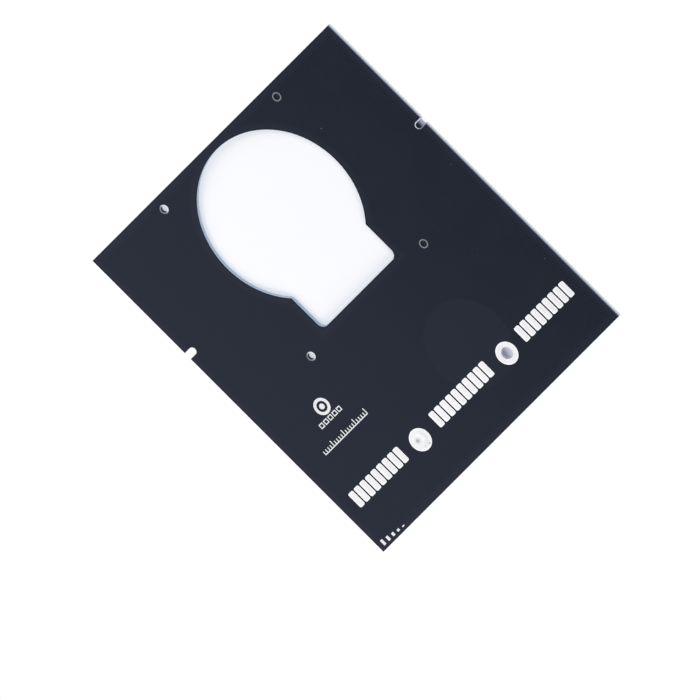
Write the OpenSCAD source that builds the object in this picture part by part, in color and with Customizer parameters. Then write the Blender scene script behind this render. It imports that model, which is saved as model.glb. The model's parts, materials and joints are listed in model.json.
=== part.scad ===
// Bare circuit board, lying flat: a pale glass-epoxy sheet with a black coating on both faces, a
// keyhole-like window, four drilled holes, two edge notches, one column of tinned contact pads with
// two plated holes between its groups, and a few white ink marks.
// Origin: centre of the board's bottom face. +X runs along the long side towards the window, +Z is up.

/* [Sheet] */
// Length of the sheet along X
sheet_l = 112.5; // [105:0.1:125]
// Width of the sheet along Y
sheet_w = 108.4; // [104:0.1:120]
// Thickness of the glass-epoxy sheet without its coatings
sheet_t = 1.12; // [0.7:0.01:2]
// Thickness of the black coating on each face
mask_t = 0.04; // [0.02:0.01:0.06]

/* [Window] */
// Diameter of the round part of the window
window_d = 50; // [46:0.1:52]
// Strip of sheet left between the round part and the edge at +X
window_web = 2.45; // [1.5:0.05:4]
// Reach of the tab from the centre of the round part
tab_reach = 30.4; // [28:0.1:33]
// Width of the tab across Y
tab_w = 34.1; // [28:0.1:38]
// Radius of the tab's two outer corners
tab_corner_r = 2.2; // [1:0.1:4]

/* [Drilled holes] */
// Diameter of the four drilled holes
hole_d = 2; // [1.2:0.1:2.6]
// Spacing of the drilled holes along X
hole_spacing_x = 56.8; // [54:0.1:60]
// Spacing of the drilled holes along Y
hole_spacing_y = 51.8; // [50:0.1:58]
// Distance from the outer pair of drilled holes to the edge at +X
hole_edge = 3.9; // [3:0.1:6]
// Width of the bare ring that the coating leaves around a drilled hole
hole_relief = 0.37; // [0.2:0.01:0.6]

/* [Edge notches] */
// Width of each notch, which ends in a half circle
notch_w = 1.8; // [1:0.1:3]
// Depth of each notch from the edge of the sheet
notch_depth = 3.1; // [2:0.1:5]
// Distance from the notches' centre line to the edge at +X
notch_edge = 36.85; // [32:0.05:42]
// Width of the bare rim that the coating leaves around a notch
notch_relief = 0.28; // [0.2:0.01:0.6]

/* [Contact pads] */
// Pitch of the contact pads
pad_pitch = 2.54; // [2.5:0.01:2.6]
// Length of a pad along X
pad_l = 5.1; // [4:0.01:6]
// Width of a pad along Y
pad_w = 2.04; // [1.6:0.01:2.3]
// Radius of a pad's corners in plan
pad_corner_r = 0.5; // [0.2:0.05:0.7]
// Distance from the pads' outer ends to the edge at -X
pad_edge = 12.85; // [9:0.05:16]
// Height of a pad's edge above the glass-epoxy sheet
pad_t = 0.04; // [0.03:0.01:0.08]
// Rise of the solder from a pad's long edge to its middle
pad_crown = 0.06; // [0.05:0.005:0.09]
// Gap between a pad or land and the coating around it
mask_gap = 0.03; // [0.02:0.01:0.05]
// Pads in the middle group
middle_pads = 10; // [8:2:10]
// Pads in each outer group
outer_pads = 9; // [5:1:9]
// Pitches from the board's centre line to the first pad of an outer group
outer_start = 11; // [11:1:12]

/* [Plated holes] */
// Diameter of the round lands
land_d = 6.85; // [6:0.05:8]
// Spacing of the two plated holes along Y
land_spacing = 39.8; // [39:0.1:41]
// Diameter of the plated holes, measured inside the plating
bore_d = 3.6; // [3:0.1:4.5]
// Thickness of the plating on a barrel's wall
barrel_t = 0.05; // [0.03:0.01:0.1]
// Width of the sloped rim of a land
land_rim = 0.25; // [0.1:0.05:0.4]
// Diameter of the solder's head on the closed hole
plug_head_d = 5; // [4.8:0.1:5.4]
// Height of the solder's head above the land
plug_rise = 0.22; // [0.15:0.01:0.4]
// Diameter of the dimple in the solder
dimple_d = 1.5; // [1:0.1:2]
// Depth of the dimple in the solder
dimple_depth = 0.1; // [0.05:0.01:0.14]
// Distance of the dimple from the solder's middle along X
dimple_x = 0.35; // [-0.6:0.05:0.6]
// Distance of the dimple from the solder's middle along Y
dimple_y = 0.8; // [-0.8:0.05:0.8]

/* [Ink marks] */
// Thickness of the white ink
ink_t = 0.02; // [0.01:0.01:0.04]
// Width of the ink's thin lines
ink_w = 0.3; // [0.2:0.05:0.4]
// Number of ticks on the scale
scale_ticks = 20; // [10:1:20]
// Step from tick to tick
tick_step = 1; // [0.8:0.1:1]
// Height of a short tick
tick_h = 1.3; // [0.8:0.1:1.6]
// Height of every fifth tick
long_tick_h = 2.1; // [1.7:0.1:2.4]
// Distance from the scale's base line to the edge at -X
scale_from_x = 29.7; // [26:0.1:31]
// Distance from the scale's start to the edge at +Y
scale_from_y = 28.3; // [22:0.1:30]
// Side of a check box
box_side = 1.5; // [1:0.1:1.7]
// Step from check box to check box
box_step = 1.95; // [1.9:0.05:2.2]
// Distance from the check boxes to the edge at -X
box_from_x = 35.5; // [34:0.1:35.6]
// Distance from the first check box to the edge at +Y
box_from_y = 23.4; // [18:0.1:26]
// Height of the largest block in the row of blocks
block_h = 1.8; // [1.2:0.1:2]
// Width of each block
block_w = 0.9; // [0.5:0.1:1.5]
// Step from block to block
block_step = 2.1; // [1.8:0.1:2.3]
// Distance from the blocks to the edge at -X
block_from_x = 1; // [0.6:0.1:8]
// Distance from the first block to the edge at +Y
block_from_y = 11; // [10.5:0.1:20]
// Outer diameter of the round mark
target_d = 5.1; // [4:0.1:6]
// Width of the round mark's ring
target_line = 0.9; // [0.3:0.1:1.1]
// Diameter of the dot at the round mark's centre
target_dot_d = 1.7; // [1:0.1:2]
// Distance from the round mark's centre to the edge at -X
target_from_x = 40; // [39.5:0.1:42]
// Distance from the round mark's centre to the edge at +Y
target_from_y = 19.3; // [12:0.1:24]

/* [Hidden] */
$fn = 96;
// Overshoot of a cutting shape past the face that it cuts
past = 1;
// Heights of the sheet's two faces and of the coating's upper face
core_z = mask_t;
top_z = mask_t + sheet_t;
face_z = mask_t + sheet_t + mask_t;
// Height of a pad's or land's middle above the sheet
crest_t = pad_t + pad_crown;
// Places on the sheet
window_x = sheet_l / 2 - window_web - window_d / 2;
hole_x = [sheet_l / 2 - hole_edge - hole_spacing_x, sheet_l / 2 - hole_edge];
hole_y = [-hole_spacing_y / 2, hole_spacing_y / 2];
notch_x = sheet_l / 2 - notch_edge;
pad_x = -sheet_l / 2 + pad_edge + pad_l / 2;
land_x = -sheet_l / 2 + pad_edge + pad_l - land_d / 2;
open_y = -land_spacing / 2;
filled_y = land_spacing / 2;
// Groups of pads: their names, their numbers of pads, and their middles in pitches
group_names = ["a", "b", "c"];
group_counts = [outer_pads, middle_pads, outer_pads];
outer_middle = outer_start + (outer_pads - 1) / 2;
group_middles = [-outer_middle, 0, outer_middle];
// Radius of the curve that crosses a given width with a given rise
function curve_r(width, rise) = pow(width / 2, 2) / (2 * rise) + rise / 2;
pad_curve_r = curve_r(pad_w, pad_crown);
head_curve_r = curve_r(plug_head_d, plug_rise);
dimple_curve_r = curve_r(dimple_d, dimple_depth);
// Finer steps for the wide shallow curves
fine_fn = 256;
// Ink marks: how many in each row
boxes = 5;
blocks = 5;

function pad_name(g, i) = str("pad_", group_names[g], "_", i + 1);
function pad_y(g, i) = (group_middles[g] + i - (group_counts[g] - 1) / 2) * pad_pitch;

// Rectangle with round corners, centred
module round_rect(l, w, r) {
    square([l - 2 * r, w], center = true);
    square([l, w - 2 * r], center = true);
    for (x = [-1, 1], y = [-1, 1])
        translate([x * (l / 2 - r), y * (w / 2 - r)]) circle(r = r);
}

// Window: a circle joined to a tab that has round outer corners
module window_outline() {
    translate([window_x, 0]) {
        circle(d = window_d);
        translate([-tab_reach / 2, 0]) {
            square([tab_reach - 2 * tab_corner_r, tab_w], center = true);
            square([tab_reach, tab_w - 2 * tab_corner_r], center = true);
        }
        for (y = [-1, 1])
            translate([-tab_reach + tab_corner_r, y * (tab_w / 2 - tab_corner_r)]) circle(r = tab_corner_r);
    }
}

// Notch that runs in from the edge at +Y, larger all round by grow
module notch_outline(grow) {
    r = notch_w / 2 + grow;
    translate([notch_x, sheet_w / 2 - notch_depth + notch_w / 2]) {
        circle(r = r);
        translate([-r, 0]) square([2 * r, notch_depth + past]);
    }
}

// All drilled holes and notches, each larger all round by its own relief
module holes_and_notches(hole_grow, notch_grow) {
    for (x = hole_x, y = hole_y) translate([x, y]) circle(d = hole_d + 2 * hole_grow);
    for (side = [0, 1]) mirror([0, side]) notch_outline(notch_grow);
}

// Blank of one layer with the window, the holes and the notches cut through it
module layer(thickness, hole_grow, notch_grow) {
    difference() {
        linear_extrude(thickness) square([sheet_l, sheet_w], center = true);
        translate([0, 0, -past]) linear_extrude(thickness + 2 * past) window_outline();
        translate([0, 0, -past])
            linear_extrude(thickness + 2 * past) holes_and_notches(hole_grow, notch_grow);
    }
}

// Round cuts through one layer at both plated holes
module cut_at_plated_holes(d, thickness) {
    for (y = [open_y, filled_y])
        translate([land_x, y, -past]) cylinder(d = d, h = thickness + 2 * past);
}

// Glass-epoxy sheet
module substrate() {
    color("lightsteelblue")
        translate([0, 0, core_z])
            difference() {
                layer(sheet_t, 0, 0);
                cut_at_plated_holes(bore_d + 2 * barrel_t, sheet_t);
            }
}

// Black coating on the upper face, cut back around holes and notches and open over pads and lands
module solder_mask_top() {
    color([0.13, 0.15, 0.19])
        translate([0, 0, top_z])
            difference() {
                layer(mask_t, hole_relief, notch_relief);
                cut_at_plated_holes(land_d + 2 * mask_gap, mask_t);
                for (g = [0:2], i = [0:group_counts[g] - 1])
                    translate([pad_x, pad_y(g, i), -past])
                        linear_extrude(mask_t + 2 * past)
                            round_rect(pad_l + 2 * mask_gap, pad_w + 2 * mask_gap, pad_corner_r + mask_gap);
            }
}

// Black coating on the lower face, where only the two lands show
module solder_mask_back() {
    color([0.13, 0.15, 0.19])
        difference() {
            layer(mask_t, hole_relief, notch_relief);
            cut_at_plated_holes(land_d + 2 * mask_gap, mask_t);
        }
}

// Tinned contact pad, crowned across its width
module pad(g, i) {
    color("whitesmoke")
        translate([pad_x, pad_y(g, i), top_z])
            intersection() {
                linear_extrude(crest_t) round_rect(pad_l, pad_w, pad_corner_r);
                translate([0, 0, crest_t - pad_curve_r])
                    rotate([0, 90, 0])
                        cylinder(r = pad_curve_r, h = pad_l + 2 * past, center = true, $fn = fine_fn);
            }
}

// Tinned lands on both faces and the barrel between them, turned as one profile
module plated_hole() {
    bore_r = bore_d / 2;
    wall_r = bore_r + barrel_t;
    land_r = land_d / 2;
    translate([land_x, 0, 0])
        rotate_extrude()
            polygon([
                [bore_r, 0],
                [land_r, 0],
                [land_r, core_z],
                [wall_r, core_z],
                [wall_r, top_z],
                [land_r, top_z],
                [land_r, top_z + pad_t],
                [land_r - land_rim, top_z + crest_t],
                [wall_r, top_z + crest_t],
                [bore_r, top_z + pad_t]
            ]);
}

module plated_hole_open() {
    color("whitesmoke") translate([0, open_y, 0]) plated_hole();
}

module plated_hole_filled() {
    color("whitesmoke") translate([0, filled_y, 0]) plated_hole();
}

// Solder in the second barrel, with a low domed head on the land and one dimple
module solder_plug() {
    bore_r = bore_d / 2;
    head_z = top_z + crest_t;
    color("gainsboro")
        translate([land_x, filled_y, 0])
            difference() {
                rotate_extrude() {
                    square([bore_r, top_z + pad_t]);
                    translate([0, top_z + pad_t])
                        polygon([[0, 0], [bore_r, 0], [bore_r + barrel_t, pad_crown], [0, pad_crown]]);
                    translate([0, head_z])
                        intersection() {
                            translate([0, plug_rise - head_curve_r]) circle(r = head_curve_r, $fn = fine_fn);
                            square([plug_head_d / 2, 2 * plug_rise]);
                        }
                }
                translate([dimple_x, dimple_y, head_z + plug_rise - dimple_depth + dimple_curve_r])
                    sphere(r = dimple_curve_r);
            }
}

// Place on the coating, measured from the sheet's edges at -X and +Y
module on_face(from_x, from_y) {
    translate([-sheet_l / 2 + from_x, sheet_w / 2 - from_y, face_z]) children();
}

// Scale of ticks on one base line, every fifth tick longer
module ink_scale() {
    color("white")
        on_face(scale_from_x, scale_from_y) {
            cube([ink_w, (scale_ticks - 1) * tick_step + ink_w, ink_t]);
            for (i = [0:scale_ticks - 1])
                translate([0, i * tick_step, 0])
                    cube([i % 5 == 0 ? long_tick_h : tick_h, ink_w, ink_t]);
        }
}

// Row of empty check boxes
module ink_check_boxes() {
    inside = box_side - 2 * ink_w;
    color("white")
        on_face(box_from_x, box_from_y)
            for (i = [0:boxes - 1])
                translate([0, i * box_step, 0])
                    difference() {
                        cube([box_side, box_side, ink_t]);
                        translate([ink_w, ink_w, -past]) cube([inside, inside, ink_t + 2 * past]);
                    }
}

// Row of blocks that grow from one to the next
module ink_blocks() {
    color("white")
        on_face(block_from_x, block_from_y)
            for (i = [0:blocks - 1])
                translate([0, i * block_step, 0])
                    cube([block_h * (i + 1) / blocks, block_w, ink_t]);
}

// Plain ring with a dot at its centre
module ink_round_mark() {
    color("white")
        on_face(target_from_x, target_from_y) {
            difference() {
                cylinder(d = target_d, h = ink_t);
                translate([0, 0, -past]) cylinder(d = target_d - 2 * target_line, h = ink_t + 2 * past);
            }
            cylinder(d = target_dot_d, h = ink_t);
        }
}

substrate();
solder_mask_top();
solder_mask_back();
for (g = [0:2], i = [0:group_counts[g] - 1])
    pad(g, i);
plated_hole_open();
plated_hole_filled();
solder_plug();
ink_scale();
ink_check_boxes();
ink_blocks();
ink_round_mark();
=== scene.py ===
import json
import math

import bpy
from mathutils import Matrix, Vector


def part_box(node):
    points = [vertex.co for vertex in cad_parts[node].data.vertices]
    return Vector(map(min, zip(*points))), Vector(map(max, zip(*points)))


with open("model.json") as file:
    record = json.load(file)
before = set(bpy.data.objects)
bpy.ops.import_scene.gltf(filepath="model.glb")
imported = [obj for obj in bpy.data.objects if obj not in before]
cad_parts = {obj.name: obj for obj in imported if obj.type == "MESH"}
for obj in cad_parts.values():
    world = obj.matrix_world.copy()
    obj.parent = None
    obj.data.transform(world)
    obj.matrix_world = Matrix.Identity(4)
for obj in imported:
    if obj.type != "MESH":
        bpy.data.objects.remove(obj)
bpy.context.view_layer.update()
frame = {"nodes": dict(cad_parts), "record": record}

MM = 0.001

# The sheet's edges and upper face in the part's frame, in metres
EDGE_X, EDGE_Y, FACE_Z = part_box("solder_mask_top")[1]

# Window: its round part, the strip between that and the edge at +X, and its tab
WINDOW_R = 25.0 * MM
WINDOW_WEB = 2.45 * MM
WINDOW_X = EDGE_X - WINDOW_WEB - WINDOW_R
TAB_REACH = 30.4 * MM
TAB_HALF = 17.05 * MM

# Drilled holes: the middle of the four, their distances from it and their radius
HOLES_X = EDGE_X - 32.3 * MM
HOLE_OFF_X = 28.4 * MM
HOLE_OFF_Y = 25.9 * MM
HOLE_R = 1.0 * MM

# Notches: centre line, depth and half width
NOTCH_X = EDGE_X - 36.85 * MM
NOTCH_DEPTH = 3.1 * MM
NOTCH_HALF = 0.9 * MM

# Round lands: centres, outer radius and radius of the plated hole
LAND_X = -EDGE_X + 14.525 * MM
LAND_OFF_Y = 19.9 * MM
LAND_R = 3.425 * MM
BORE_R = 1.8 * MM

# Pads: middle of the column, pitch and half sizes
PAD_X = -EDGE_X + 15.4 * MM
PAD_PITCH = 2.54 * MM
PAD_HALF_X = 2.55 * MM
PAD_HALF_Y = 1.02 * MM

# Thickness of a layer of glass cloth and pitch of its weave
CLOTH_T = 0.16 * MM
WEAVE_PITCH = 0.5 * MM

# Round patch that shows faintly through the coating
PATCH_X = -32.5 * MM
PATCH_Y = -13.2 * MM
PATCH_R = 12.6 * MM

# Tiny pale specks on the coating: x and y in millimetres, and their strength
SPECKS = (
    (37.6, -28.9, 1.0),
    (5.5, -50.6, 0.35),
    (-30.7, -50.3, 0.5),
    (-17.0, -35.4, 0.1),
    (-4.8, -32.4, 0.1),
)

# Middle of a small stain where the solder's head meets its land
STAIN_X = LAND_X - 2.42 * MM
STAIN_Y = LAND_OFF_Y - 1.40 * MM
STAIN_COLOUR = (0.28, 0.29, 0.31, 1.0)

# Painted light and shade on the solder, and a scratch: x and y from its middle, start and end of their
# fading, all in millimetres, then strength and colour. They are painted highlights on the crest and
# shoulder of the dome, painted shade round the dimple and in the dimple, and a scratch.
SOLDER_PAINTED_LIGHT_AND_SCRATCH = (
    (0.0, -1.1, 0.2, 1.3, 1.0, (0.71, 0.715, 0.74, 1.0)),
    (1.26, -0.62, 0.2, 1.2, 0.8, (0.71, 0.715, 0.74, 1.0)),
    (0.27, 0.66, 0.4, 1.6, 0.35, (0.30, 0.31, 0.34, 1.0)),
    (0.27, 0.66, 0.05, 0.8, 0.9, (0.26, 0.27, 0.31, 1.0)),
    (-2.18, 0.12, 0.05, 0.35, 0.5, (0.30, 0.31, 0.33, 1.0)),
)

# The photograph's camera: an orthographic view from above the -Y side, rolled by 45 degrees
PHOTO_PX = 700
PX_PER_M = 3658
TILT = math.radians(32.83)
ROLL = math.radians(45)
BOARD_IN_PHOTO = (355.76, 288.52)
CAMERA_DISTANCE = 0.6

# Light: the world's strength, then each softbox's name, place, size in metres and radiance
WORLD_LIGHT = 0.45
SOFTBOXES = (
    ("softbox_left", (-0.6, 0.0, 0.25), (0.5, 0.35), 3.0),
    ("softbox_right", (0.6, 0.0, 0.25), (0.5, 0.35), 3.0),
    ("softbox_front", (0.0, -0.55, 0.45), (0.6, 0.4), 1.6),
    ("softbox_back", (0.0, 0.216, 0.18), (0.3, 0.18), 1.0),
)

# Floor: half its width, and how far it lies below the board, so that they don't share a plane
FLOOR_HALF = 3.0
FLOOR_DROP = 0.02 * MM


def add_camera():
    """Puts the camera where the board's middle and corners fall on the photograph's."""
    across = Vector((1, 0, 0))
    away = Vector((0, math.cos(TILT), math.sin(TILT)))
    back = Vector((0, -math.sin(TILT), math.cos(TILT)))
    right = -math.cos(ROLL) * across - math.sin(ROLL) * away
    up = math.cos(ROLL) * across - math.sin(ROLL) * away
    px, py = BOARD_IN_PHOTO
    target = Vector((0, 0, FACE_Z))
    target += right * ((PHOTO_PX / 2 - px) / PX_PER_M) + up * ((py - PHOTO_PX / 2) / PX_PER_M)
    data = bpy.data.cameras.new("photo_camera")
    data.type = "ORTHO"
    data.ortho_scale = PHOTO_PX / PX_PER_M
    data.clip_start, data.clip_end = 0.01, 20
    camera = bpy.data.objects.new("photo_camera", data)
    camera.matrix_world = Matrix((
        (right.x, up.x, back.x, target.x + back.x * CAMERA_DISTANCE),
        (right.y, up.y, back.y, target.y + back.y * CAMERA_DISTANCE),
        (right.z, up.z, back.z, target.z + back.z * CAMERA_DISTANCE),
        (0, 0, 0, 1),
    ))
    bpy.context.scene.collection.objects.link(camera)
    bpy.context.scene.camera = camera


class Recipe:
    """One procedural material. Its coordinates are metres in the part's frame."""

    def __init__(self, name, **constants):
        self.material = bpy.data.materials.new(name)
        self.material.use_nodes = True
        self.tree = self.material.node_tree
        self.shader = self.tree.nodes["Principled BSDF"]
        for socket, value in constants.items():
            self.shader.inputs[socket.replace("_", " ")].default_value = value
        self.place = self.add("ShaderNodeTexCoord").outputs["Object"]
        self.x, self.y, self.z = self.axes(self.place)

    def add(self, kind, **settings):
        """A new node of that kind."""
        made = self.tree.nodes.new(kind)
        for key, value in settings.items():
            setattr(made, key, value)
        return made

    def feed(self, socket, value):
        """Links the socket to another, or sets it to a number or colour."""
        if isinstance(value, bpy.types.NodeSocket):
            self.tree.links.new(value, socket)
        else:
            socket.default_value = value

    def set(self, **values):
        """Feeds the shader's sockets, whose names have _ for a space here."""
        for socket, value in values.items():
            self.feed(self.shader.inputs[socket.replace("_", " ")], value)

    def axes(self, vector):
        """The three parts of a vector."""
        made = self.add("ShaderNodeSeparateXYZ")
        self.feed(made.inputs[0], vector)
        return made.outputs[0], made.outputs[1], made.outputs[2]

    def maths(self, operation, a, b=0.0):
        made = self.add("ShaderNodeMath", operation=operation)
        self.feed(made.inputs[0], a)
        self.feed(made.inputs[1], b)
        return made.outputs[0]

    def plus(self, a, b):
        return self.maths("ADD", a, b)

    def minus(self, a, b):
        return self.maths("SUBTRACT", a, b)

    def times(self, a, b):
        return self.maths("MULTIPLY", a, b)

    def over(self, a, b):
        return self.maths("DIVIDE", a, b)

    def most(self, a, b):
        return self.maths("MAXIMUM", a, b)

    def least(self, a, b):
        return self.maths("MINIMUM", a, b)

    def size_of(self, a):
        return self.maths("ABSOLUTE", a)

    def wave(self, turns):
        """A sine of so many turns, brought to 0..1."""
        return self.plus(self.times(self.maths("SINE", self.times(turns, 2 * math.pi)), 0.5), 0.5)

    def far(self, dx, dy):
        """Length of the step dx, dy."""
        return self.maths("SQRT", self.plus(self.times(dx, dx), self.times(dy, dy)))

    def stretched(self, x, y, z):
        """Coordinates scaled by x, y and z."""
        made = self.add("ShaderNodeMapping")
        self.feed(made.inputs["Vector"], self.place)
        made.inputs["Scale"].default_value = (x, y, z)
        return made.outputs[0]

    def noise(self, size, detail=2.0, rough=0.5, vector=None, distortion=0.0):
        """Noise whose spots are about size metres wide; values from 0 to 1."""
        made = self.add("ShaderNodeTexNoise")
        self.feed(made.inputs["Vector"], vector or self.place)
        made.inputs["Scale"].default_value = 1 / size
        made.inputs["Detail"].default_value = detail
        made.inputs["Roughness"].default_value = rough
        made.inputs["Distortion"].default_value = distortion
        return made.outputs["Fac"]

    def ramp(self, value, start, end, out_start=0.0, out_end=1.0):
        """Takes start..end smoothly to out_start..out_end and holds it there beyond."""
        made = self.add("ShaderNodeMapRange", clamp=True, interpolation_type="SMOOTHSTEP")
        for socket, number in zip(made.inputs, (value, start, end, out_start, out_end)):
            self.feed(socket, number)
        return made.outputs[0]

    def within(self, distance, start, end, strength=1.0):
        """Full strength up to start, fading to 0 at end."""
        return self.ramp(distance, start, end, strength, 0.0)

    def mix(self, amount, first, second):
        """From the first colour to the second."""
        made = self.add("ShaderNodeMix", data_type="RGBA")
        self.feed(made.inputs[0], amount)
        self.feed(made.inputs[6], first)
        self.feed(made.inputs[7], second)
        return made.outputs[2]

    def mix_values(self, amount, first, second):
        """From the first number to the second."""
        return self.plus(self.times(self.minus(1.0, amount), first), self.times(amount, second))

    def tinted(self, first, second):
        """Product of two colours."""
        made = self.add("ShaderNodeMix", data_type="RGBA", blend_type="MULTIPLY")
        self.feed(made.inputs[0], 1.0)
        self.feed(made.inputs[6], first)
        self.feed(made.inputs[7], second)
        return made.outputs[2]

    def bump(self, height, depth, under=None):
        """A relief whose full height is depth metres."""
        made = self.add("ShaderNodeBump")
        made.inputs["Strength"].default_value = 1.0
        made.inputs["Distance"].default_value = depth
        self.feed(made.inputs["Height"], height)
        if under is not None:
            self.feed(made.inputs["Normal"], under)
        self.feed(self.shader.inputs["Normal"], made.outputs[0])
        return made.outputs[0]

    def from_point(self, x, y):
        """Distance in plan from the point x, y."""
        return self.far(self.minus(self.x, x), self.minus(self.y, y))

    def from_sides(self):
        """Distance from the sheet's straight outline, positive inside."""
        to_end = self.minus(EDGE_X, self.size_of(self.x))
        to_side = self.minus(EDGE_Y, self.size_of(self.y))
        return self.least(to_end, to_side)

    def from_window(self):
        """Distance from the window's outline, positive on the sheet."""
        off = self.minus(self.x, WINDOW_X)
        to_round = self.minus(self.far(off, self.y), WINDOW_R)
        to_tab_side = self.minus(self.size_of(self.y), TAB_HALF)
        to_tab_end = self.most(self.minus(-TAB_REACH, off), off)
        return self.least(to_round, self.most(to_tab_side, to_tab_end))

    def from_drilled(self):
        """Distance from the middle of the nearest drilled hole."""
        dx = self.minus(self.size_of(self.minus(self.x, HOLES_X)), HOLE_OFF_X)
        return self.far(dx, self.minus(self.size_of(self.y), HOLE_OFF_Y))

    def from_land(self):
        """Distance from the middle of the nearer round land."""
        return self.far(self.minus(self.x, LAND_X), self.minus(self.size_of(self.y), LAND_OFF_Y))

    def stained(self):
        """Strength of the small stain beside the solder's head."""
        return self.within(self.from_point(STAIN_X, STAIN_Y), 0.10 * MM, 0.50 * MM, 0.8)

    def in_notch(self):
        """1 in and round the two notches, 0 from 0.9 mm past their outline."""
        start, end = 0.7 * MM, 0.9 * MM
        aside = self.size_of(self.minus(self.x, NOTCH_X))
        beside = self.within(aside, NOTCH_HALF + start, NOTCH_HALF + end)
        inner_end = EDGE_Y - NOTCH_DEPTH
        return self.times(beside, self.ramp(self.size_of(self.y), inner_end - end, inner_end - start))

    def at_plus_y(self):
        """1 on the board's +Y half, 0 on the other."""
        return self.ramp(self.y, -1 * MM, 1 * MM)

    def at_minus_y(self):
        """1 on the board's -Y half, 0 on the other."""
        return self.minus(1.0, self.at_plus_y())


def rgb(red, green, blue):
    return (red, green, blue, 1.0)


def grey(value):
    return rgb(value, value, value)


def coating():
    """Blue-black coating: faint mottling, a lighter band along its edges, a painted reflection towards +Y,
    a painted highlight along the -Y edge and a soft orange peel.
    """
    r = Recipe("black_coating", IOR=1.22, Specular_Tint=rgb(0.80, 0.90, 1.0))
    broad = r.noise(14 * MM, detail=3)
    fine = r.noise(0.9 * MM, detail=3, rough=0.6)
    tone = r.plus(r.times(broad, 0.6), r.times(fine, 0.4))
    colour = r.mix(r.ramp(tone, 0.35, 0.65), rgb(0.0068, 0.0092, 0.0180), rgb(0.0084, 0.0112, 0.0205))
    # Painted reflection: a little lighter and bluer towards the +Y side, for the sheen of the light there
    colour = r.mix(r.ramp(r.y, -50 * MM, 20 * MM), colour, rgb(0.0100, 0.0128, 0.0250))
    patch = r.within(r.from_point(PATCH_X, PATCH_Y), PATCH_R, PATCH_R + 1.4 * MM)
    colour = r.mix(patch, colour, rgb(0.0112, 0.0150, 0.0255))
    # The band runs along the sheet's outline and along the window
    wobble = r.times(r.minus(fine, 0.5), 0.25 * MM)
    from_cut = r.plus(r.least(r.from_sides(), r.from_window()), wobble)
    band = r.times(r.ramp(from_cut, 0.2 * MM, 0.7 * MM, 0.35, 1.0), r.within(from_cut, 0.8 * MM, 2.8 * MM))
    colour = r.mix(r.times(band, 0.28), colour, rgb(0.024, 0.030, 0.046))
    # Painted highlight: a lighter line along the edge at -Y, where a slight bevel would catch the light
    painted_edge_highlight = r.within(r.plus(r.y, EDGE_Y), 0.0, 0.4 * MM)
    colour = r.mix(painted_edge_highlight, colour, rgb(0.10, 0.115, 0.135))
    for x, y, strength in SPECKS:
        speck = r.within(r.from_point(x * MM, y * MM), 0.08 * MM, 0.18 * MM, strength)
        colour = r.mix(speck, colour, rgb(0.20, 0.21, 0.24))
    r.set(Base_Color=colour, Roughness=r.ramp(fine, 0.3, 0.7, 0.28, 0.34))
    peel = r.noise(0.45 * MM, detail=1)
    waves = r.noise(5 * MM, detail=1)
    r.bump(peel, 0.004 * MM, under=r.bump(waves, 0.02 * MM))
    return r.material


def cut_face_colour(r, cut):
    """Colour of the sheet's cut faces, whose light and dark layers are given by cut."""
    # Painted light and shade: the window's cut faces take a bluer tone than the outer ones of the same
    # sheet, for the different light that falls on them
    window_cut = r.mix(cut, rgb(0.29, 0.41, 0.57), rgb(0.50, 0.63, 0.79))
    side_cut = r.mix(cut, rgb(0.29, 0.36, 0.44), rgb(0.43, 0.51, 0.60))
    # Painted light from the floor on the lower part of the outer faces
    side_cut = r.mix(r.ramp(r.z, 0.95 * MM, 0.25 * MM), side_cut, rgb(0.93, 0.95, 0.97))
    colour = r.mix(r.ramp(r.from_sides(), 0.2 * MM, 0.4 * MM), side_cut, window_cut)
    # Painted shade: darker walls in the small holes and at the inner end of the notch at -Y
    painted_hole_wall_shade = r.within(r.from_drilled(), HOLE_R + 0.3 * MM, HOLE_R + 0.5 * MM)
    inner_end = r.ramp(r.y, -EDGE_Y + 0.8 * MM, -EDGE_Y + 2.4 * MM)
    inner_end = r.times(r.times(r.in_notch(), r.at_minus_y()), inner_end)
    return r.mix(r.most(painted_hole_wall_shade, inner_end), colour, rgb(0.018, 0.022, 0.030))


def open_face_colour(r):
    """Colour of the sheet's bare upper face: a dim weave, and painted light on rims, as if they were lit
    through.
    """
    warp = r.maths("SINE", r.times(r.x, 2 * math.pi / WEAVE_PITCH))
    weft = r.maths("SINE", r.times(r.y, 2 * math.pi / WEAVE_PITCH))
    weave = r.plus(r.times(r.times(warp, weft), 0.5), 0.5)
    colour = r.mix(weave, rgb(0.16, 0.18, 0.20), rgb(0.23, 0.25, 0.28))
    # Painted shade: darker in the narrow gaps round the pads and lands
    painted_gap_shade = r.within(r.x, PAD_X + 4 * MM, PAD_X + 5 * MM)
    colour = r.mix(painted_gap_shade, colour, rgb(0.05, 0.055, 0.065))
    # Painted light: the rims of the notches, and the near side of the drilled holes at +Y, are lightened
    # as if lit through
    lit_rim = r.ramp(r.minus(r.x, NOTCH_X), -1.1 * MM, 0.0, 0.05, 1.0)
    lit_rim = r.times(r.in_notch(), r.most(lit_rim, r.at_plus_y()))
    painted_near_side_light = r.within(r.minus(r.y, HOLE_OFF_Y), -0.9 * MM, 0.7 * MM)
    painted_near_side_light = r.times(painted_near_side_light, r.within(r.from_drilled(), HOLE_R + 0.5 * MM, HOLE_R + 0.7 * MM))
    painted_near_side_light = r.times(painted_near_side_light, r.at_plus_y())
    lit_colour = r.mix(r.at_plus_y(), rgb(0.68, 0.74, 0.82), rgb(0.86, 0.88, 0.90))
    return r.mix(r.most(lit_rim, painted_near_side_light), colour, lit_colour)


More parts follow.
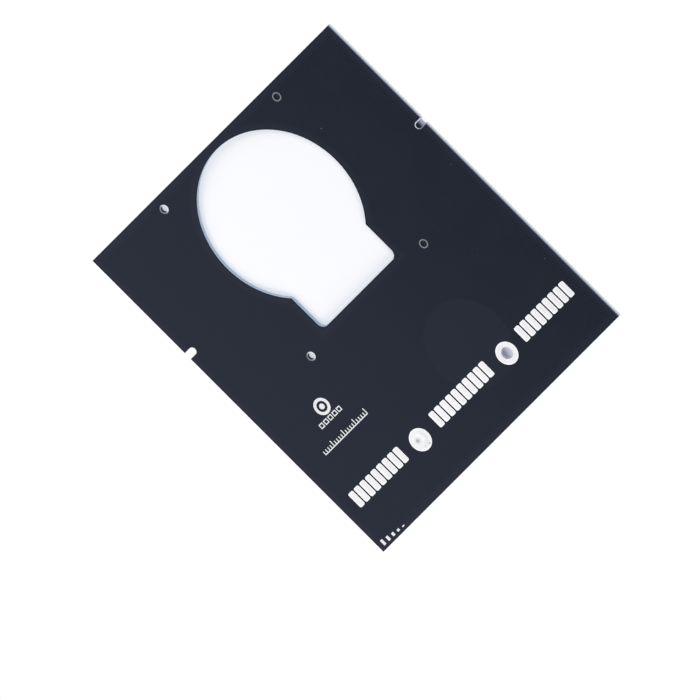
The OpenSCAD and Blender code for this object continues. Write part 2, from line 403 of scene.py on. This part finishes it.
def glass_epoxy():
    """Pale sheet: stacked layers of glass cloth on cut faces, the cloth's weave on open ones."""
    r = Recipe("glass_epoxy", IOR=1.5)
    normal = r.add("ShaderNodeNewGeometry").outputs["Normal"]
    faces_up = r.ramp(r.size_of(r.axes(normal)[2]), 0.5, 0.9)
    # The layers are uneven along the cut
    wander = r.noise(3 * MM, vector=r.stretched(1, 1, 0.1))
    layers = r.wave(r.plus(r.over(r.z, CLOTH_T), r.times(wander, 0.9)))
    fibres = r.noise(0.12 * MM, rough=0.7, vector=r.stretched(0.35, 0.35, 1.0))
    cut = r.ramp(r.plus(r.times(layers, 0.45), r.times(fibres, 0.55)), 0.25, 0.75)
    colour = r.mix(faces_up, cut_face_colour(r, cut), open_face_colour(r))
    r.set(Base_Color=colour, Roughness=r.ramp(fibres, 0.3, 0.7, 0.48, 0.66))
    r.bump(cut, 0.008 * MM)
    return r.material


def from_metal_rim(r):
    """Distance from the outline of the pad or land, positive inside."""
    # Pads lie on whole pitches in the outer groups and on half pitches in the middle one
    halves = r.ramp(r.size_of(r.y), 6 * PAD_PITCH, 7 * PAD_PITCH, 0.0, 0.5)
    row = r.maths("FRACT", r.plus(r.over(r.size_of(r.y), PAD_PITCH), halves))
    to_side = r.minus(PAD_HALF_Y, r.times(r.size_of(r.minus(row, 0.5)), PAD_PITCH))
    to_end = r.minus(PAD_HALF_X, r.size_of(r.minus(r.x, PAD_X)))
    on_land = r.within(r.from_land(), LAND_R + 0.5 * MM, LAND_R + 0.6 * MM)
    return r.mix_values(on_land, r.least(to_side, to_end), r.minus(LAND_R, r.from_land()))


def tin():
    """Satin white metal with the slight ripple of levelled solder, painted highlights on its rims and
    painted shade towards +Y.
    """
    r = Recipe("white_tin", Metallic=1.0)
    ripple = r.noise(0.9 * MM, vector=r.stretched(0.5, 1, 1), distortion=0.4)
    grain = r.noise(0.12 * MM, detail=3, rough=0.6)
    colour = r.mix(r.ramp(ripple, 0.3, 0.7), rgb(0.640, 0.635, 0.660), rgb(0.680, 0.680, 0.700))
    # Painted highlights: brighter rims on the pads and lands, and a bright ring round the bore's edge
    colour = r.mix(r.within(from_metal_rim(r), 0.15 * MM, 0.45 * MM), colour, rgb(0.76, 0.76, 0.775))
    colour = r.mix(r.within(r.from_land(), BORE_R, BORE_R + 0.04 * MM), colour, rgb(0.86, 0.86, 0.90))
    # Painted shade: darker towards +Y, to offset the light on the metal that grows there
    painted_shade_to_plus_y = r.mix(r.ramp(r.y, 0.0, 45 * MM), grey(1), rgb(0.935, 0.935, 0.925))
    colour = r.mix(r.stained(), r.tinted(colour, painted_shade_to_plus_y), STAIN_COLOUR)
    r.set(Base_Color=colour, Roughness=r.ramp(grain, 0.3, 0.7, 0.50, 0.60))
    r.bump(grain, 0.002 * MM, under=r.bump(ripple, 0.008 * MM))
    return r.material


def solder():
    """Satin solder with a dimple, painted highlights on its dome, painted shade in and round the dimple, a
    scratch, a small stain and a few tiny pits.
    """
    r = Recipe("solder", Metallic=1.0)
    swirl = r.noise(1.2 * MM, distortion=0.8)
    grain = r.noise(0.1 * MM)
    colour = r.mix(r.ramp(swirl, 0.3, 0.7), grey(0.610), grey(0.650))
    # Painted light and shade: lighter on the land's -Y side, darker on its +Y side
    across = r.ramp(r.minus(r.y, LAND_OFF_Y), -3 * MM, 3 * MM)
    colour = r.tinted(colour, r.mix(across, grey(1.05), grey(0.92)))
    on_top = r.ramp(r.z, 0.5 * MM, 1.0 * MM)
    # Painted highlights and shade on the dome, and a scratch
    for x, y, start, end, strength, shade in SOLDER_PAINTED_LIGHT_AND_SCRATCH:
        reach = r.from_point(LAND_X + x * MM, LAND_OFF_Y + y * MM)
        spot = r.times(on_top, r.within(reach, start * MM, end * MM, strength))
        colour = r.mix(spot, colour, shade)
    pits = r.ramp(r.noise(0.45 * MM, detail=0), 0.74, 0.80, 0.0, 0.4)
    colour = r.mix(pits, colour, rgb(0.30, 0.30, 0.32))
    colour = r.mix(r.stained(), colour, STAIN_COLOUR)
    r.set(Base_Color=colour, Roughness=r.ramp(grain, 0.3, 0.7, 0.42, 0.52))
    r.bump(swirl, 0.006 * MM)
    return r.material


def ink():
    """Matte white ink, a little uneven where the screen printed it thinly."""
    r = Recipe("white_ink", IOR=1.4)
    cover = r.noise(0.25 * MM, rough=0.6)
    colour = r.mix(r.ramp(cover, 0.25, 0.5), rgb(0.62, 0.64, 0.68), rgb(0.88, 0.89, 0.90))
    r.set(Base_Color=colour, Roughness=r.ramp(cover, 0.3, 0.7, 0.66, 0.55))
    r.bump(cover, 0.005 * MM)
    return r.material


def dress():
    """Gives every carried-over node its material."""
    materials = {
        "solder_mask": coating(),
        "substrate": glass_epoxy(),
        "tin": tin(),
        "solder": solder(),
        "ink": ink(),
    }
    slots = {row["node"]: row["material_slot"] for row in frame["record"]["subparts"]}
    for name, piece in frame["nodes"].items():
        piece.data.materials.clear()
        piece.data.materials.append(materials[slots[name]])


def white_for_camera(tree):
    """1 for rays from the camera, off gloss or through glass, which see the plain white."""
    path = tree.nodes.new("ShaderNodeLightPath")
    total = path.outputs["Is Camera Ray"]
    for name in ("Is Glossy Ray", "Is Transmission Ray"):
        larger = tree.nodes.new("ShaderNodeMath")
        larger.operation = "MAXIMUM"
        tree.links.new(total, larger.inputs[0])
        tree.links.new(path.outputs[name], larger.inputs[1])
        total = larger.outputs[0]
    return total


def add_world():
    """Soft even light from all round, which the camera sees as plain white."""
    world = bpy.data.worlds.new("studio")
    world.use_nodes = True
    tree = world.node_tree
    plain = tree.nodes["Background"]
    plain.inputs["Color"].default_value = rgb(0.96, 0.97, 1.0)
    plain.inputs["Strength"].default_value = WORLD_LIGHT
    seen = tree.nodes.new("ShaderNodeBackground")
    seen.inputs["Color"].default_value = grey(1)
    seen.inputs["Strength"].default_value = 1.0
    choice = tree.nodes.new("ShaderNodeMixShader")
    tree.links.new(white_for_camera(tree), choice.inputs[0])
    tree.links.new(plain.outputs[0], choice.inputs[1])
    tree.links.new(seen.outputs[0], choice.inputs[2])
    tree.links.new(choice.outputs[0], tree.nodes["World Output"].inputs["Surface"])
    bpy.context.scene.world = world


def painted_shade_in_holes(r):
    """Painted shade on the floor at the foot of the open plated hole, the drilled holes and the notch at
    -Y.
    """
    slant = r.times(r.minus(r.x, LAND_X), 0.3)
    across_well = r.plus(r.plus(r.y, LAND_OFF_Y), slant)
    well = r.mix(r.ramp(across_well, -1.0 * MM, 1.9 * MM), rgb(0.59, 0.60, 0.69), rgb(0.19, 0.21, 0.27))
    tone = r.mix(r.within(r.from_land(), BORE_R + 0.2 * MM, BORE_R + 0.8 * MM), grey(1), well)
    drilled = r.mix(r.at_plus_y(), rgb(0.030, 0.034, 0.044), rgb(0.80, 0.84, 0.97))
    tone = r.mix(r.within(r.from_drilled(), HOLE_R + 0.3 * MM, HOLE_R + 0.6 * MM), tone, drilled)
    to_inner_end = r.ramp(r.y, -EDGE_Y + 1.0 * MM, -EDGE_Y + NOTCH_DEPTH - 0.2 * MM)
    notch = r.mix(to_inner_end, rgb(0.45, 0.44, 0.54), rgb(0.020, 0.026, 0.040))
    painted_notch_shade_mask = r.times(r.in_notch(), r.ramp(r.y, -EDGE_Y + 0.65 * MM, -EDGE_Y + 0.85 * MM))
    return r.mix(r.times(painted_notch_shade_mask, r.at_minus_y()), tone, notch)


def floor_colours(r):
    """The floor's own colour, which takes the shadow, and its glow for the camera, both darkened by
    painted shade under the holes and the notch at -Y.
    """
    tone = painted_shade_in_holes(r)
    # The shadow is full in the window, faint outside the board and gone in the notch at +Y
    in_window = r.within(r.from_window(), 0.0, 1 * MM)
    own = r.mix(in_window, grey(0.40), rgb(0.95, 0.942, 0.96))
    glow = r.mix(in_window, grey(0.68), rgb(0.062, 0.078, 0.078))
    in_far_notch = r.times(r.in_notch(), r.at_plus_y())
    in_far_notch = r.times(in_far_notch, r.ramp(r.from_sides(), -0.6 * MM, -0.3 * MM))
    glow = r.mix(in_far_notch, glow, grey(0.80))
    # Well away from the board the floor is plain white
    away = r.ramp(r.from_point(0, 0), 0.09, 0.16)
    own = r.mix(away, own, grey(0))
    glow = r.mix(away, glow, grey(1))
    return r.tinted(own, tone), r.tinted(glow, tone)


def add_floor():
    """A wide pale floor: plain to the light, white to the camera, with the object's shadow kept."""
    half = FLOOR_HALF
    mesh = bpy.data.meshes.new("floor")
    mesh.from_pydata([(-half, -half, 0), (half, -half, 0), (half, half, 0), (-half, half, 0)],
                     [], [(0, 1, 2, 3)])
    floor = bpy.data.objects.new("floor", mesh)
    floor.location.z = -FLOOR_DROP
    bpy.context.scene.collection.objects.link(floor)
    r = Recipe("pale_floor")
    tree = r.tree
    tree.nodes.remove(r.shader)
    own, glow = floor_colours(r)
    plain = r.add("ShaderNodeBsdfDiffuse")
    plain.inputs["Color"].default_value = rgb(0.82, 0.82, 0.84)
    shaded = r.add("ShaderNodeBsdfDiffuse")
    r.feed(shaded.inputs["Color"], own)
    shining = r.add("ShaderNodeEmission")
    r.feed(shining.inputs["Color"], glow)
    lifted = r.add("ShaderNodeAddShader")
    tree.links.new(shaded.outputs[0], lifted.inputs[0])
    tree.links.new(shining.outputs[0], lifted.inputs[1])
    choice = r.add("ShaderNodeMixShader")
    tree.links.new(white_for_camera(tree), choice.inputs[0])
    tree.links.new(plain.outputs[0], choice.inputs[1])
    tree.links.new(lifted.outputs[0], choice.inputs[2])
    tree.links.new(choice.outputs[0], tree.nodes["Material Output"].inputs["Surface"])
    floor.data.materials.append(r.material)


def add_softbox(name, place, size, radiance):
    """A rectangular softbox that faces the board, with its brightness as a plain radiance."""
    data = bpy.data.lights.new(name, "AREA")
    data.shape = "RECTANGLE"
    data.size, data.size_y = size
    data.energy = radiance * math.pi * size[0] * size[1]
    lamp = bpy.data.objects.new(name, data)
    lamp.location = place
    lamp.rotation_mode = "QUATERNION"
    lamp.rotation_quaternion = (-Vector(place)).to_track_quat("-Z", "Y")
    lamp.visible_camera = False
    bpy.context.scene.collection.objects.link(lamp)


dress()
add_world()
add_floor()
for softbox in SOFTBOXES:
    add_softbox(*softbox)
add_camera()
bpy.context.scene.view_settings.view_transform = "Standard"
